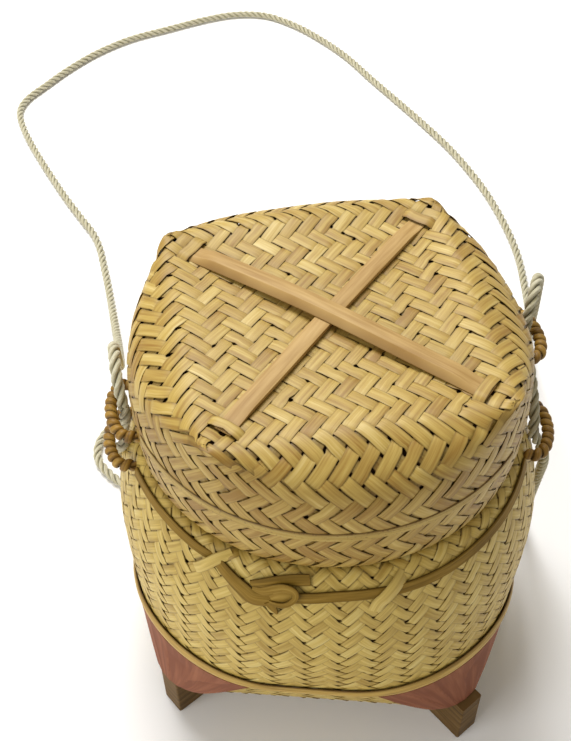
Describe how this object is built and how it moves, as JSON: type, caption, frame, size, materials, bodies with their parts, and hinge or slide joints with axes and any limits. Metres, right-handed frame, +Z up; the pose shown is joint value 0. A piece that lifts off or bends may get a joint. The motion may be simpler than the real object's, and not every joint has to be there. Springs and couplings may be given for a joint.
{
  "type": "woven bamboo box",
  "caption": "Plaited bamboo rice basket: square-based body, deep square-topped lid that lifts off, crossed foot boards, cane-wound ears and a twisted cotton carrying rope.",
  "frame": {"origin": "on the basket's upright axis, at the level of the surface that the foot boards stand on", "axes": "+Z up, -Y towards the front where the belt is knotted, +X to the right seen from the front"},
  "size_m": [0.377, 0.6447, 0.2026],
  "materials": {
    "bamboo_lid": "split bamboo strips, satin, golden straw",
    "bamboo_body": "split bamboo strips, satin, pale yellow",
    "bamboo_lining": "split bamboo strips, matte",
    "bamboo_slat": "split bamboo, smooth",
    "red_binding": "dyed cane strips, matte",
    "dark_board": "dark wood, matte",
    "brown_cane": "flat cane, satin",
    "ear_cane": "wound cane, satin",
    "cotton_rope": "three-strand twisted cotton, matte"
  },
  "bodies": {
    "basket": {"base_board_lower": "dark_board", "base_board_upper": "dark_board", "base_hoop": "bamboo_slat", "belt_back": "brown_cane", "belt_front": "brown_cane", "belt_knot": "brown_cane", "belt_tail": "brown_cane", "body_ear_left_core": "ear_cane", "body_ear_left_wrap": "ear_cane", "body_ear_right_core": "ear_cane", "body_ear_right_wrap": "ear_cane", "body_lining": "bamboo_lining", "body_shell": "bamboo_body", "corner_binding_1": "red_binding", "corner_binding_2": "red_binding", "corner_binding_3": "red_binding", "corner_binding_4": "red_binding", "mouth_hoop": "bamboo_slat", "rope_fall_left": "cotton_rope", "rope_fall_right": "cotton_rope", "rope_floor_loop": "cotton_rope", "rope_knot": "cotton_rope", "rope_link_left": "cotton_rope", "rope_link_right": "cotton_rope", "rope_lower_left": "cotton_rope", "rope_lower_right": "cotton_rope"},
    "lid": {"lid_bar_lower": "bamboo_slat", "lid_bar_upper": "bamboo_slat", "lid_ear_left_core": "ear_cane", "lid_ear_left_wrap": "ear_cane", "lid_ear_right_core": "ear_cane", "lid_ear_right_wrap": "ear_cane", "lid_hoop_strip": "bamboo_slat", "lid_lining": "bamboo_lining", "lid_shell": "bamboo_lid"}
  },
  "joints": [
    {"name": "lid_lift", "type": "slide", "parent": "basket", "child": "lid", "axis": [0, 0, 1], "range_m": [0, 0.045], "deforming": ["rope_fall_left", "rope_fall_right", "rope_link_left", "rope_link_right"]}
  ]
}
